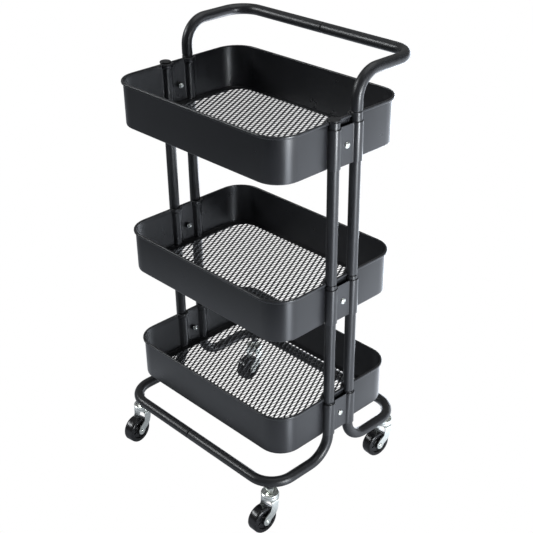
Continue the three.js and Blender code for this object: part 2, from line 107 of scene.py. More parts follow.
def round_points(radius, count, start=0.0):
    steps = (start + 2 * PI * k / count for k in range(count))
    return [(radius * math.cos(a), radius * math.sin(a)) for a in steps]


def flat_ring(points, z):
    return [Vector((x, y, z)) for x, y in points]


def smooth(t):
    t = min(max(t, 0), 1)
    return t * t * (3 - 2 * t)


def loft(rings, closed=False):
    """A skin over rings of equally many points, with caps unless it closes on itself."""
    count = len(rings[0])
    verts = [p for points in rings for p in points]
    pairs = [(i, i + 1) for i in range(len(rings) - 1)]
    if closed:
        pairs.append((len(rings) - 1, 0))
    faces = []
    for a, b in pairs:
        for k in range(count):
            m = (k + 1) % count
            faces.append((a * count + k, a * count + m, b * count + m, b * count + k))
    if not closed:
        faces.append(tuple(range(count)))
        faces.append(tuple(range(len(verts) - count, len(verts))))
    return verts, faces


def turned(profile, segments, closed=False):
    """A shape turned about Z from (radius, z) pairs."""
    return loft([flat_ring(round_points(r, segments), z) for r, z in profile], closed)


def joined(*shapes):
    verts, faces = [], []
    for shape_verts, shape_faces in shapes:
        base = len(verts)
        verts.extend(shape_verts)
        faces.extend(tuple(base + i for i in face) for face in shape_faces)
    return verts, faces


def moved(shape, matrix):
    verts, faces = shape
    return [matrix @ v for v in verts], faces


def new_piece(name, shape, material, body="frame", replaces=(), sharp=38):
    """Makes the mesh object of a shape in millimetres and ties it to the frame.

    Edges that turn more than sharp degrees are shaded sharp.
    """
    verts, faces = shape
    mesh = bpy.data.meshes.new(name)
    mesh.from_pydata([v * MM for v in verts], [], faces)
    bm = bmesh.new()
    bm.from_mesh(mesh)
    bmesh.ops.recalc_face_normals(bm, faces=bm.faces)
    bm.to_mesh(mesh)
    bm.free()
    mesh.shade_smooth()
    mesh.set_sharp_from_angle(angle=math.radians(sharp))
    mesh.materials.append(MATERIALS[material])
    obj = bpy.data.objects.new(name, mesh)
    bpy.context.scene.collection.objects.link(obj)
    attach(obj, body)
    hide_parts(*replaces)


# ------------ materials

def set_range(node, from_min, from_max, to_min, to_max):
    """Sets the limits of a Map Range node."""
    limits = {"From Min": from_min, "From Max": from_max, "To Min": to_min, "To Max": to_max}
    for key, value in limits.items():
        node.inputs[key].default_value = value


class Nodes:
    """A small builder for one material's node tree."""

    def __init__(self, name):
        self.material = bpy.data.materials.new(name)
        self.material.use_nodes = True
        self.tree = self.material.node_tree
        self.shader = self.tree.nodes["Principled BSDF"]
        self.place = self.add("ShaderNodeTexCoord").outputs["Object"]

    def add(self, kind, **values):
        node = self.tree.nodes.new(kind)
        for key, value in values.items():
            setattr(node, key, value)
        return node

    def link(self, source, target):
        self.tree.links.new(source, target)

    def noise(self, scale, detail, roughness=0.5, stretch=None):
        node = self.add("ShaderNodeTexNoise")
        node.inputs["Scale"].default_value = scale
        node.inputs["Detail"].default_value = detail
        node.inputs["Roughness"].default_value = roughness
        place = self.place
        if stretch:
            mapping = self.add("ShaderNodeMapping")
            mapping.inputs["Scale"].default_value = stretch
            self.link(place, mapping.inputs["Vector"])
            place = mapping.outputs["Vector"]
        self.link(place, node.inputs["Vector"])
        return node.outputs["Fac"]

    def spread(self, source, low, high, from_low=0.3, from_high=0.7):
        """source, spread from low to high."""
        node = self.add("ShaderNodeMapRange")
        set_range(node, from_low, from_high, low, high)
        self.link(source, node.inputs["Value"])
        return node.outputs["Result"]

    def mix(self, factor, first, second):
        node = self.add("ShaderNodeMix", data_type="RGBA")
        self.link(factor, node.inputs["Factor"])
        for socket, value in ((node.inputs[6], first), (node.inputs[7], second)):
            if isinstance(value, tuple):
                socket.default_value = (*value, 1)
            else:
                self.link(value, socket)
        return node.outputs[2]

    def edges(self):
        """1 on outer edges and corners, 0 on flats."""
        pointiness = self.add("ShaderNodeNewGeometry").outputs["Pointiness"]
        return self.spread(pointiness, 0.0, 1.0, 0.52, 0.60)

    def bump(self, height, strength, distance, before=None):
        node = self.add("ShaderNodeBump")
        node.inputs["Strength"].default_value = strength
        node.inputs["Distance"].default_value = distance
        self.link(height, node.inputs["Height"])
        if before:
            self.link(before, node.inputs["Normal"])
        return node.outputs["Normal"]

    def finish(self, color, roughness, normal, metallic=0.0, specular=0.5):
        sockets = self.shader.inputs
        self.link(color, sockets["Base Color"])
        self.link(roughness, sockets["Roughness"])
        self.link(normal, sockets["Normal"])
        sockets["Metallic"].default_value = metallic
        sockets["Specular IOR Level"].default_value = specular
        return self.material


def powder_coat():
    """Satin black powder coat: fine orange peel over slow shade changes, paler on worn edges."""
    n = Nodes("black_powder_coat")
    shade = n.mix(n.spread(n.noise(9, 4), 0, 1), (0.011, 0.0115, 0.013), (0.017, 0.0175, 0.0195))
    color = n.mix(n.edges(), shade, (0.032, 0.033, 0.036))
    roughness = n.spread(n.noise(28, 5, 0.6), 0.27, 0.34)
    peel = n.bump(n.noise(620, 2), 0.03, 0.0002)
    normal = n.bump(n.noise(2600, 1), 0.01, 0.0001, peel)
    return n.finish(color, roughness, normal)


def tube_coat():
    """The same coat on the tubes, evener and a little duller."""
    n = Nodes("black_tube_coat")
    shade = n.mix(n.spread(n.noise(14, 4), 0, 1), (0.009, 0.0095, 0.011), (0.015, 0.0155, 0.0175))
    color = n.mix(n.edges(), shade, (0.030, 0.031, 0.033))
    roughness = n.spread(n.noise(36, 5, 0.6), 0.33, 0.41)
    peel = n.bump(n.noise(560, 2), 0.012, 0.0002)
    normal = n.bump(n.noise(2400, 1), 0.005, 0.0001, peel)
    return n.finish(color, roughness, normal)


def mesh_coat():
    """The coat on the expanded metal, rougher and grainier."""
    n = Nodes("black_mesh_coat")
    shade = n.mix(n.spread(n.noise(60, 3), 0, 1), (0.012, 0.0125, 0.014), (0.020, 0.0205, 0.022))
    roughness = n.spread(n.noise(140, 4, 0.6), 0.32, 0.46)
    normal = n.bump(n.noise(1400, 2), 0.18, 0.0002)
    return n.finish(shade, roughness, normal, specular=0.25)


def nut_zinc_painted_shade():
    """Zinc plating of the nuts in cloudy patches, given a darker, greyer colour than bright_zinc as
    painted shade.
    """
    n = Nodes("zinc_nut_painted_shade")
    cloud = n.spread(n.noise(180, 4, 0.6), 0, 1)
    # Painted shade: the nuts' zinc is coloured darker and greyer than the bolts' zinc.
    color = n.mix(cloud, (0.16, 0.165, 0.165), (0.27, 0.28, 0.275))
    roughness = n.spread(n.noise(300, 4, 0.6), 0.16, 0.26)
    normal = n.bump(n.noise(220, 3), 0.04, 0.0003)
    return n.finish(color, roughness, normal, metallic=1.0)


def bright_zinc():
    """Bright zinc plating with faint drawing marks and cloudy patches."""
    n = Nodes("bright_zinc")
    cloud = n.spread(n.noise(110, 4, 0.6), 0, 1)
    color = n.mix(cloud, (0.87, 0.90, 0.86), (0.95, 0.97, 0.92))
    roughness = n.spread(n.noise(240, 5, 0.65), 0.25, 0.36)
    marks = n.bump(n.noise(900, 2, 0.5, (1, 1, 6)), 0.035, 0.0002)
    normal = n.bump(n.noise(160, 3), 0.04, 0.0004, marks)
    return n.finish(color, roughness, normal, metallic=1.0)


def moulded_plastic():
    """Black moulded plastic with a fine spark-eroded grain."""
    n = Nodes("black_plastic")
    shade = n.mix(n.spread(n.noise(120, 3), 0, 1), (0.010, 0.010, 0.011), (0.018, 0.018, 0.019))
    roughness = n.spread(n.noise(300, 4), 0.30, 0.42)
    normal = n.bump(n.noise(3200, 2), 0.1, 0.0002)
    return n.finish(shade, roughness, normal, specular=0.3)


def wheel_rubber():
    """Hard black wheel: a glossy, slightly scuffed moulding, paler on its edges."""
    n = Nodes("black_tyre")
    shade = n.mix(n.spread(n.noise(70, 4), 0, 1), (0.004, 0.004, 0.0045), (0.009, 0.009, 0.010))
    color = n.mix(n.edges(), shade, (0.022, 0.022, 0.024))
    roughness = n.spread(n.noise(180, 5, 0.65), 0.16, 0.30)
    fine = n.bump(n.noise(2200, 2), 0.06, 0.0001)
    normal = n.bump(n.noise(260, 3), 0.05, 0.0003, fine)
    return n.finish(color, roughness, normal)


MATERIALS = {
    "coat": powder_coat(),
    "tube": tube_coat(),
    "mesh": mesh_coat(),
    "zinc": bright_zinc(),
    # The nuts' zinc carries painted shade.
    "nut": nut_zinc_painted_shade(),
    "plastic": moulded_plastic(),
    "tyre": wheel_rubber(),
}


# ------------ tubes

class TubePath:
    """A centre line of straights and quarter bends, with a section frame carried along it."""

    def __init__(self, corners, radii=()):
        self.runs = []
        self.length = 0
        at = corners[0]
        tangent = (corners[1] - corners[0]).normalized()
        side = tangent.orthogonal().normalized()
        for i, radius in enumerate(radii):
            corner = corners[i + 1]
            after = (corners[i + 2] - corner).normalized()
            start = corner - tangent * radius
            self._run((start - at).length, at, tangent, side)
            axis = tangent.cross(after)
            self._run(radius * PI / 2, start, tangent, side, axis, radius)
            side = Matrix.Rotation(PI / 2, 3, axis) @ side
            at = corner + after * radius
            tangent = after
        self._run((corners[-1] - at).length, at, tangent, side)

    def _run(self, length, at, tangent, side, axis=None, radius=0):
        self.runs.append((self.length, length, at, tangent, side, axis, radius))
        self.length += length

    def frame(self, s):
        """Position, tangent and section direction at length s; straight on past both ends."""
        run = next((r for r in reversed(self.runs) if r[0] <= s), self.runs[0])
        start, _, at, tangent, side, axis, radius = run
        t = s - start
        if axis is None:
            return at + tangent * t, tangent, side
        turn = Matrix.Rotation(t / radius, 3, axis)
        centre = at + axis.cross(tangent) * radius
        return centre + turn @ (at - centre), turn @ tangent, turn @ side

    def bend_stations(self):
        found = []
        for start, length, *_, radius in self.runs:
            if radius:
                found.extend(start + length * k / BEND_SEGMENTS for k in range(BEND_SEGMENTS + 1))
        return found

    def section(self, s, radius):
        at, tangent, side = self.frame(s)
        other = tangent.cross(side)
        return [at + side * u + other * v for u, v in round_points(radius, TUBE_SEGMENTS)]


# Ends of a tube, from the outer wall to the bore, as (distance past the end, radius).
TUBE_EDGE = [
    (-1.6, TUBE_R), (-1.1, TUBE_R - 0.1), (-0.7, TUBE_R - 0.4), (-0.45, TUBE_R - 0.9),
]
PLAIN_END = TUBE_EDGE + [(-0.45, BORE_R + 0.15), (-0.6, BORE_R)]
SPIGOT_END = TUBE_EDGE + [
    (-0.45, SPIGOT_R + 0.25), (-0.2, SPIGOT_R), (SPIGOT_LENGTH - 0.8, SPIGOT_R),
    (SPIGOT_LENGTH, SPIGOT_R - 0.6), (SPIGOT_LENGTH, SPIGOT_BORE_R), (-3, SPIGOT_BORE_R),
    (-4.5, BORE_R),
]


def tube(path, first_end, last_end):
    """A tube with a real wall: outside, last end, bore, first end, and round again."""
    bends = path.bend_stations()
    loop = [(s, TUBE_R) for s in bends]
    loop += [(path.length + d, r) for d, r in last_end]
    loop += [(s, BORE_R) for s in reversed(bends)]
    loop += [(-d, r) for d, r in reversed(first_end)]
    return loft([path.section(s, r) for s, r in loop], closed=True)


def post_axis(side, end):
    centre = mm_centre(f"lower_post_{end}_{side}")
    return centre.x, centre.y


def build_posts():
    """Lower and upper posts, each with its swaged end in the tube below."""
    for end in ENDS:
        for side in SIDES:
            x, y = post_axis(side, end)
            for level in ("lower", "upper"):
                node = f"{level}_post_{end}_{side}"
                low, high = mm_box(node)
                top = Vector((x, y, high.z))
                bottom = Vector((x, y, low.z + SPIGOT_LENGTH + SEAM_GAP))
                path = TubePath([bottom, top])
                new_piece(f"post_{level}_{end}_{side}", tube(path, SPIGOT_END, PLAIN_END),
                          "tube", replaces=[node])


WELD_SEGMENTS = 36
WELD_RIPPLES = 9
WELD_LEAST_DROP = 3  # below the tube's axis
WELD_SECTION = [(-0.4, 0.9), (0.8, 0.6), (0.75, -0.15), (0.15, -0.8), (-0.4, -0.8)]


def boss_weld(centre, bend_centre):
    """The fillet of weld round a boss, following the round of the tube above it."""
    rings = []
    for k in range(WELD_SEGMENTS):
        a = 2 * PI * k / WELD_SEGMENTS
        out = Vector((math.cos(a), math.sin(a), 0))
        foot = centre + out * BOSS_R
        off = (foot - bend_centre).length - BASE_BENDS[1]
        z = BASE_AXIS_Z - math.sqrt(max(TUBE_R ** 2 - off ** 2, WELD_LEAST_DROP ** 2))
        bulge = 1.0 + 0.12 * math.sin(WELD_RIPPLES * a)
        rings.append([foot + out * (u * bulge) + Vector((0, 0, z + v * bulge))
                      for u, v in WELD_SECTION])
    return loft(rings, closed=True)


def build_base():
    """Four base tubes: riser, side, corner and run, with the stem boss under the corner."""
    for end, e in ENDS.items():
        for side, s in SIDES.items():
            node = f"base_tube_{end}_{side}"
            low, high = mm_box(node)
            x, y = post_axis(side, end)
            run_y = (low.y + TUBE_R) if e < 0 else (high.y - TUBE_R)
            long_tube = s * e < 0
            inner = low.x if s > 0 else high.x
            run_end = inner if long_tube else inner + s * SPIGOT_LENGTH
            path = TubePath([
                Vector((x, y, high.z)),
                Vector((x, y, BASE_AXIS_Z)),
                Vector((x, run_y, BASE_AXIS_Z)),
                Vector((run_end, run_y, BASE_AXIS_Z)),
            ], BASE_BENDS)
            shape = tube(path, PLAIN_END, PLAIN_END if long_tube else SPIGOT_END)
            new_piece(f"base_{end}_{side}", shape, "tube", replaces=[node])

            stem = mm_centre(f"caster_stem_{end}_{side}")
            centre = Vector((stem.x, stem.y, 0))
            corner = Vector((x - s * BASE_BENDS[1], run_y - e * BASE_BENDS[1], 0))
            boss = turned([
                (BOSS_BORE_R, low.z), (BOSS_R - BOSS_EDGE, low.z), (BOSS_R, low.z + BOSS_EDGE),
                (BOSS_R, BOSS_TOP), (BOSS_BORE_R, BOSS_TOP),
            ], segments=32, closed=True)
            boss = moved(boss, Matrix.Translation(centre))
            new_piece(f"stem_boss_{end}_{side}", boss, "tube")
            new_piece(f"boss_weld_{end}_{side}", boss_weld(centre, corner), "tube")


def build_handle():
    """Two handle halves that meet in the middle of the grip."""
    low, high = mm_box("handle_left")
    grip_z = high.z - TUBE_R
    grip_y = high.y - TUBE_R
    for side, s in SIDES.items():
        x, y = post_axis(side, "back")
        foot = mm_box(f"upper_post_back_{side}")[1].z + SEAM_GAP
        path = TubePath([
            Vector((x, y, foot)),
            Vector((x, y, grip_z)),
            Vector((x, grip_y, grip_z)),
            Vector((s * SEAM_GAP / 2, grip_y, grip_z)),
        ], HANDLE_BENDS)
        last = SPIGOT_END if s < 0 else PLAIN_END
        new_piece(f"handle_tube_{side}", tube(path, SPIGOT_END, last), "tube",
                  replaces=[f"handle_{side}"])


def build_post_caps():
    """Moulded plugs in the front posts, with a slightly domed and flared head."""
    for side in SIDES:
        node = f"post_cap_{side}"
        low, high = mm_box(node)
        x, y = post_axis(side, "front")
        seat = mm_box(f"upper_post_front_{side}")[1].z + SEAM_GAP
        top = high.z
        plug = BORE_R - 0.3
        profile = [
            (0.01, low.z), (plug - 1.2, low.z), (plug - 0.4, low.z + 1.4),
            (plug, seat - 6), (plug - 0.5, seat - 5.4), (plug - 0.5, seat - 4.4),
            (plug, seat - 3.8), (plug, seat),
            (TUBE_R + 0.2, seat), (TUBE_R + 0.5, seat + 0.3), (TUBE_R + 0.6, seat + 1.2),
            (TUBE_R + 0.45, seat + 2.0), (TUBE_R - 0.1, seat + 2.6), (TUBE_R - 1.2, top - 0.35),
            (TUBE_R - 3, top - 0.12), (4, top - 0.02), (0.01, top),
        ]
        shape = moved(turned(profile, segments=48), Matrix.Translation((x, y, 0)))
        new_piece(f"cap_front_{side}", shape, "plastic", replaces=[node])


# ------------ trays

FILLET_R = 5
FILLET_STEPS = 5
GROOVE_STEPS = 12
CORNER_STEPS = 8


class TrayPlan:
    """Stations round a tray in plan, about its middle.

    Each station has its point on the outer face, the inward direction, how far the rim ducks
    behind a post there (0 to 1), and its point on the edge of the floor flange.
    """

    def __init__(self, half_x, half_y, post_x, post_y):
        self.half_x, self.half_y = half_x, half_y
        self.post_x = post_x
        self.edge_x = half_x - FLANGE_END
        half = []
        for y in (-post_y, post_y):
            half += self._groove(y)
        half += self._corner(1) + self._corner(-1)
        turned_half = [tuple(-c for c in p[:4]) + (p[4], -p[5], -p[6]) for p in half]
        self.stations = half + turned_half

    def _groove(self, y):
        fillet, r = FILLET_R, GROOVE_R
        cx = self.half_x - fillet
        reach = self.post_x - cx
        dy = math.sqrt((r + fillet) ** 2 - reach ** 2)
        mouth = math.atan2(dy, reach)
        found = []

        def put(px, py, nx, ny, duck):
            found.append((px, py, nx, ny, duck, self.edge_x, py))

        def fillet_arc(centre_y, start, duck_from):
            for k in range(FILLET_STEPS + 1):
                a = start + mouth * k / FILLET_STEPS
                c, s = math.cos(a), math.sin(a)
                duck = smooth(abs(duck_from - k / FILLET_STEPS))
                put(cx + fillet * c, centre_y + fillet * s, -c, -s, duck)

        fillet_arc(y - dy, 0, 0)
        for k in range(1, GROOVE_STEPS):
            a = PI + mouth - 2 * mouth * k / GROOVE_STEPS
            c, s = math.cos(a), math.sin(a)
            put(self.post_x + r * c, y + r * s, c, s, 1)
        fillet_arc(y + dy, -mouth, 1)
        return found

    def _corner(self, sx):
        r = TRAY_CORNER_R
        edge_r = r - FLANGE_SIDE
        cx, cy = self.half_x - r, self.half_y - r
        edge_cx = self.edge_x - edge_r
        found = []
        for k in range(CORNER_STEPS + 1):
            a = PI / 2 * k / CORNER_STEPS + (0 if sx > 0 else PI / 2)
            c, s = math.cos(a), math.sin(a)
            found.append((sx * cx + r * c, cy + r * s, -c, -s, 0,
                          sx * edge_cx + edge_r * c, cy + edge_r * s))
        return found

    def ring(self, inset, z, duck):
        return [Vector((x + nx * (inset + duck * w), y + ny * (inset + duck * w), z))
                for x, y, nx, ny, w, _, _ in self.stations]

    def edge_ring(self, z, back=0.0):
        return [Vector((ex - nx * back, ey - ny * back, z))
                for _, _, nx, ny, _, ex, ey in self.stations]


def tray_shape(plan, bottom, rim):
    """Pressed wall with a rolled rim at the top and an inward flange at the bottom."""
    duck = BEAD_OUT + 0.2
    outside = [
        (3.2, bottom, 0), (1.3, bottom + 0.35, 0), (0.4, bottom + 1.2, 0), (0, bottom + 3, 0),
        (0, rim - 10, 0), (0, rim - 8.4, duck * 0.5), (0, rim - 7, duck),
        (0, rim - 4.1, duck), (-0.15, rim - 3.8, duck), (-0.5, rim - 4.0, duck),
        (-0.75, rim - 4.7, duck), (-1.6, rim - 5, duck), (-2.5, rim - 4.75, duck),
        (-3.05, rim - 4.1, duck), (-BEAD_OUT, rim - 3.2, duck), (-BEAD_OUT, rim - 1.7, duck),
        (-2.95, rim - 0.9, duck), (-2.4, rim - 0.25, duck), (-1.7, rim, duck),
        (-0.2, rim, duck), (0.5, rim - 0.25, duck), (0.9, rim - 0.8, duck), (1, rim - 1.5, duck),
    ]
    inside = [
        (SHEET, rim - 6.5, duck), (SHEET, rim - 8, duck * 0.5), (SHEET, rim - 9.6, 0),
        (SHEET, bottom + 3.2, 0), (1.5, bottom + 1.8, 0), (3.2, bottom + SHEET, 0),
    ]
    rings = [plan.ring(inset, z, d) for inset, z, d in outside + inside]
    rings += [
        plan.edge_ring(bottom + SHEET, 0.3), plan.edge_ring(bottom + SHEET - 0.3),
        plan.edge_ring(bottom + 0.3), plan.edge_ring(bottom, 0.3),
    ]
    return loft(rings, closed=True)


def build_trays():
    post = mm_centre("lower_post_back_right")
    for tier in TIERS:
        low, high = mm_box(f"tray_{tier}")
        middle = (low + high) / 2
        half_x = (high.x - low.x) / 2 - BEAD_OUT
        half_y = (high.y - low.y) / 2 - BEAD_OUT
        plan = TrayPlan(half_x, half_y, post.x, post.y - middle.y)
        shape = moved(tray_shape(plan, low.z, high.z),
                      Matrix.Translation((middle.x, middle.y, 0)))
        new_piece(f"tray_pan_{tier}", shape, "coat", replaces=[f"tray_{tier}"])


# ------------ expanded metal floors

DIAMOND_X = 10
DIAMOND_Y = 20
KNUCKLE_X, KNUCKLE_Y = 1.78, 0.95  # half widths of a knuckle
KNUCKLE_SKEW = 2.3  # makes the strands of one direction wider
STRAND_TILT = 0.3
FLOOR_SHEET = 0.6
FLOOR_TRIM = 1  # knuckles keep this far inside the CAD sheet's edge
FLOOR_DROP = 0.3  # strands reach this far below the CAD sheet


def expanded_metal(inside, half_x, half_y, low, thickness):
    """Slit and stretched sheet: a lattice of knuckles joined by tilted strands.

    Every knuckle is a small parallelogram; a strand leaves each of its four edges.
    inside(x, y) says where the sheet is.
    """
    columns = int(half_x * 2 / DIAMOND_X) + 2
    rows = int(half_y * 2 / DIAMOND_Y) + 2
    knuckles = {}
    for i in range(-columns, columns + 1):
        for j in range(-rows * 2, rows * 2 + 1):
            if (i + j) % 2 == 0:
                x, y = i * DIAMOND_X / 2, j * DIAMOND_Y / 2
                if inside(x, y):
                    knuckles[i, j] = (x, y)
    corners = [(KNUCKLE_X, KNUCKLE_SKEW, -STRAND_TILT), (0, KNUCKLE_Y, 0),
               (-KNUCKLE_X, -KNUCKLE_SKEW, STRAND_TILT), (0, -KNUCKLE_Y, 0)]
    verts, faces, first = [], [], {}
    for key, (x, y) in knuckles.items():
        first[key] = len(verts)
        for lift in (low + STRAND_TILT, low + STRAND_TILT + thickness):
            verts.extend(Vector((x + dx, y + dy, lift + dz)) for dx, dy, dz in corners)
    # Edge k of a knuckle runs from corner k to corner k + 1 and faces neighbour k.
    neighbours = [(1, 1), (-1, 1), (-1, -1), (1, -1)]
    for (i, j), base in first.items():
        faces.append(tuple(base + 4 + k for k in range(4)))
        faces.append(tuple(base + k for k in (3, 2, 1, 0)))
        for k, (di, dj) in enumerate(neighbours):
            a, b = base + k, base + (k + 1) % 4
            other = first.get((i + di, j + dj))
            if other is None:
                faces.append((a, b, b + 4, a + 4))
            elif k < 2:
                c, d = other + (k + 2) % 4, other + (k + 3) % 4
                faces.append((a + 4, d + 4, c + 4, b + 4))
                faces.append((a, b, c, d))
                faces.append((a, d, d + 4, a + 4))
                faces.append((b, b + 4, c + 4, c))
    return verts, faces


def in_rounded_rectangle(x, y, half_x, half_y, r):
    dx = abs(x) - (half_x - r)
    dy = abs(y) - (half_y - r)
    if dx <= 0 or dy <= 0:
        return abs(x) <= half_x and abs(y) <= half_y
    return dx * dx + dy * dy <= r * r


def build_mesh_floors():
    for tier in TIERS:
        low, high = mm_box(f"mesh_floor_{tier}")
        middle = (low + high) / 2
        half_x = (high.x - low.x) / 2 - FLOOR_TRIM
        half_y = (high.y - low.y) / 2 - FLOOR_TRIM

        def inside(x, y):
            return in_rounded_rectangle(x, y, half_x, half_y, FLOOR_CORNER_R - FLOOR_TRIM)

        shape = expanded_metal(inside, half_x, half_y, low.z - FLOOR_DROP, FLOOR_SHEET)
        shape = moved(shape, Matrix.Translation((middle.x, middle.y, 0)))
        new_piece(f"expanded_floor_{tier}", shape, "mesh", replaces=[f"mesh_floor_{tier}"],
                  sharp=25)


# ------------ brackets, bolts, nuts

CHANNEL_R = GROOVE_R + BRACKET_SHEET / 2 + 0.3
BRACKET_BEND = 2.2  # between the web and a channel
BEND_STEPS = 7
CHANNEL_STEPS = 28
WEB_FLAT = 5
SEAT_GAP = 0.05  # between the web and the bolt's head
BOLT_SIDES = 24
BOLT_R = 2.9
BOLT_HEAD_R = 5.6
SOCKET_FLATS = 4.0
NUT_FLATS = 10
NUT_BORE_R = 3.05
NUT_CHAMFER = math.tan(math.radians(28))


def bracket_line(post_x, post_y, web_x, lip_x):
    """Middle line of the bracket sheet in plan for the right end: (x, y, outward x, y)."""
    bend = BRACKET_BEND
    bend_x = web_x + bend
    dx = bend_x - post_x
    dy = math.sqrt((CHANNEL_R + bend) ** 2 - dx ** 2)
    touch = math.atan2(-dy, dx)
    lip = math.acos((lip_x - post_x) / CHANNEL_R)
    # From the middle of the web to the outer lip beyond the back post.
    half = [(web_x, 0, 1, 0), (web_x, WEB_FLAT, 1, 0)]
    for k in range(BEND_STEPS + 1):
        a = PI + touch * k / BEND_STEPS
        c, s = math.cos(a), math.sin(a)
        half.append((bend_x + bend * c, post_y - dy + bend * s, -c, -s))
    for k in range(1, CHANNEL_STEPS + 1):
        a = touch + (lip - touch) * k / CHANNEL_STEPS
        c, s = math.cos(a), math.sin(a)
        half.append((post_x + CHANNEL_R * c, post_y + CHANNEL_R * s, c, s))
    front = [(x, -y, nx, -ny) for x, y, nx, ny in reversed(half[1:])]
    return front + half


def bracket_shape(line, low, high):
    """The sheet's section at each station of its middle line, with softened edges."""
    half, soft = BRACKET_SHEET / 2, 0.3
    section = [
        (-half, low + soft), (-half + soft, low), (half - soft, low), (half, low + soft),
        (half, high - 0.55), (half - 0.08, high - 0.25), (half - 0.3, high - 0.03),
        (half - 0.5, high), (-half + 0.2, high), (-half, high - 0.2),
    ]
    rings = [[Vector((x + nx * d, y + ny * d, z)) for d, z in section] for x, y, nx, ny in line]
    return loft(rings)


def hexagon(flats, count_per_side, start=0.0):
    """Points of a hexagon, evenly spread over its sides."""
    corner = flats / 2 / math.cos(PI / 6)
    points = []
    for k in range(6):
        a, b = start + PI / 3 * k, start + PI / 3 * (k + 1)
        for t in range(count_per_side):
            f = t / count_per_side
            points.append((corner * ((1 - f) * math.cos(a) + f * math.cos(b)),
                           corner * ((1 - f) * math.sin(a) + f * math.sin(b))))
    return points


def threads(radius, start, end, pitch=1.0, depth=0.35):
    """Rings of a fine thread as (radius, z) pairs."""
    count = int((end - start) / pitch)
    profile = []
    for k in range(count):
        z = start + k * pitch
        profile += [(radius, z), (radius - depth, z + pitch / 2)]
    return profile + [(radius, start + count * pitch)]


def bolt_shape(seat, tip):
    """Button head with a hexagon socket, along +Z from the threaded tip."""
    turn = PI / 6
    r = BOLT_HEAD_R
    shank = [(1.6, tip), (2.4, tip + 0.5)] + threads(BOLT_R, tip + 1.0, seat - 4)
    dome = [(r - 0.2, seat), (r, seat + 0.25), (r - 0.05, seat + 0.8),
            (r - 0.5, seat + 1.7), (r - 1.3, seat + 2.5), (r - 2.1, seat + 3.0)]
    rings = [flat_ring(round_points(radius, BOLT_SIDES, turn), z)
             for radius, z in shank + [(BOLT_R, seat)] + dome]
    socket = hexagon(SOCKET_FLATS, BOLT_SIDES // 6, turn)
    rings.append(flat_ring([(x * 1.12, y * 1.12) for x, y in socket], seat + 3.15))
    rings.append(flat_ring(socket, seat + 2.85))
    rings.append(flat_ring(socket, seat + 0.9))
    rings.append(flat_ring([(x * 0.3, y * 0.3) for x, y in socket], seat + 0.5))
    return loft(rings)


def chamfered_hexagon(low, high, flats, count_per_side, slope):
    """Rings of a hexagon bar from low to high, its corners chamfered to slope at both ends."""
    outline = hexagon(flats, count_per_side)
    flat_r = flats / 2 - 0.2

    def corners(face, way):
        return [Vector((x, y, face + way * slope * max(0, math.hypot(x, y) - flat_r)))
                for x, y in outline]

    circle = round_points(flat_r, len(outline))
    return [flat_ring(circle, low), corners(low, 1), corners(high, -1), flat_ring(circle, high)]


def nut_shape(low, high):
    """Hexagon nut with chamfered corners on both faces."""
    rings = chamfered_hexagon(low, high, NUT_FLATS, count_per_side=4, slope=NUT_CHAMFER)
    bore = NUT_BORE_R
    bore_rings = [flat_ring(round_points(r, len(rings[0])), z) for r, z in (
        (bore + 0.5, high), (bore, high - 0.5), (bore, low + 0.5), (bore + 0.5, low))]
    return loft(rings + bore_rings, closed=True)


def build_brackets():
    """Brackets with their bolts and nuts, made for the right end and turned for the left."""
    along_x = Matrix.Rotation(PI / 2, 4, "Y")
    post = mm_centre("lower_post_back_right")
    for tier in TIERS:
        for side, s in SIDES.items():
            suffix = f"{tier}_{side}"
            low, high = mm_box(f"bracket_{suffix}")
            middle_y = (low.y + high.y) / 2
            lip_x = min(abs(low.x), abs(high.x))
            place = Matrix.Translation((0, middle_y, 0)) @ Matrix.Rotation(
                0 if s > 0 else PI, 4, "Z")
            web_x = BRACKET_WEB_OUT - BRACKET_SHEET / 2
            line = bracket_line(post.x, post.y - middle_y, web_x, lip_x)
            new_piece(f"bracket_plate_{suffix}", moved(bracket_shape(line, low.z, high.z), place),
                      "coat", replaces=[f"bracket_{suffix}"])

            bolt_low, bolt_high = mm_box(f"bolt_{suffix}")
            bolt_z = (bolt_low.z + bolt_high.z) / 2
            at = place @ Matrix.Translation((0, 0, bolt_z)) @ along_x
            seat = BRACKET_WEB_OUT + SEAT_GAP
            tip = min(abs(bolt_low.x), abs(bolt_high.x))
            new_piece(f"bolt_zinc_{suffix}", moved(bolt_shape(seat, tip), at), "zinc",
                      replaces=[f"bolt_{suffix}"])

            # The nuts take the zinc with painted shade.
            nut_low, nut_high = mm_box(f"nut_{suffix}")
            inner, outer = sorted((abs(nut_low.x), abs(nut_high.x)))
            new_piece(f"nut_zinc_painted_shade_{suffix}", moved(nut_shape(inner, outer), at), "nut",
                      replaces=[f"nut_{suffix}"])


# ------------ casters

# Each caster is made about its swivel axis, trailing towards -Y, with the axle along X.
STEM_R = 4.2
COLLAR_FLATS = 12.4
COLLAR_LOW, COLLAR_HIGH = 72.8, 84.2
COLLAR_CHAMFER = 0.5
TRAIL = 19.5
AXLE_Z = 26
AXLE_REACH = 14.9  # from the middle of the wheel to just past a leg's face
HUB_RIBS = 5
CROWN_R = 15.4
CROWN_LEAST_REAR = 7.0  # behind the stem's axis
FORK_END_R = 8
FORK_MIDDLE_X = 13.9
FORK_HALF_SHEET = 0.9
FORK_TOP = 63.2
FORK_BEND = 3.2
FORK_AHEAD = 8.8
LEG_START_Z = 27  # above the rows of the leg's round end
FOOT_STEPS, LEG_STEPS, CROWN_BEND_STEPS, CROWN_STEPS, WIDTH_STEPS = 8, 16, 6, 5, 8
# Edges of a fork leg as (height, trail) pairs, from its round end up.
LEG_AHEAD = [(26, 27.5), (31, 26.6), (36, 23.2), (40, 17.8), (43, 13.2), (47, 10.1), (53, 9.0),
             (63, FORK_AHEAD)]
LEG_BEHIND = [(22.75, 12.2), (26, 10.4), (30, 4.6), (36, -1.6), (44, -5.4), (53, -7.0), (63, -7.5)]


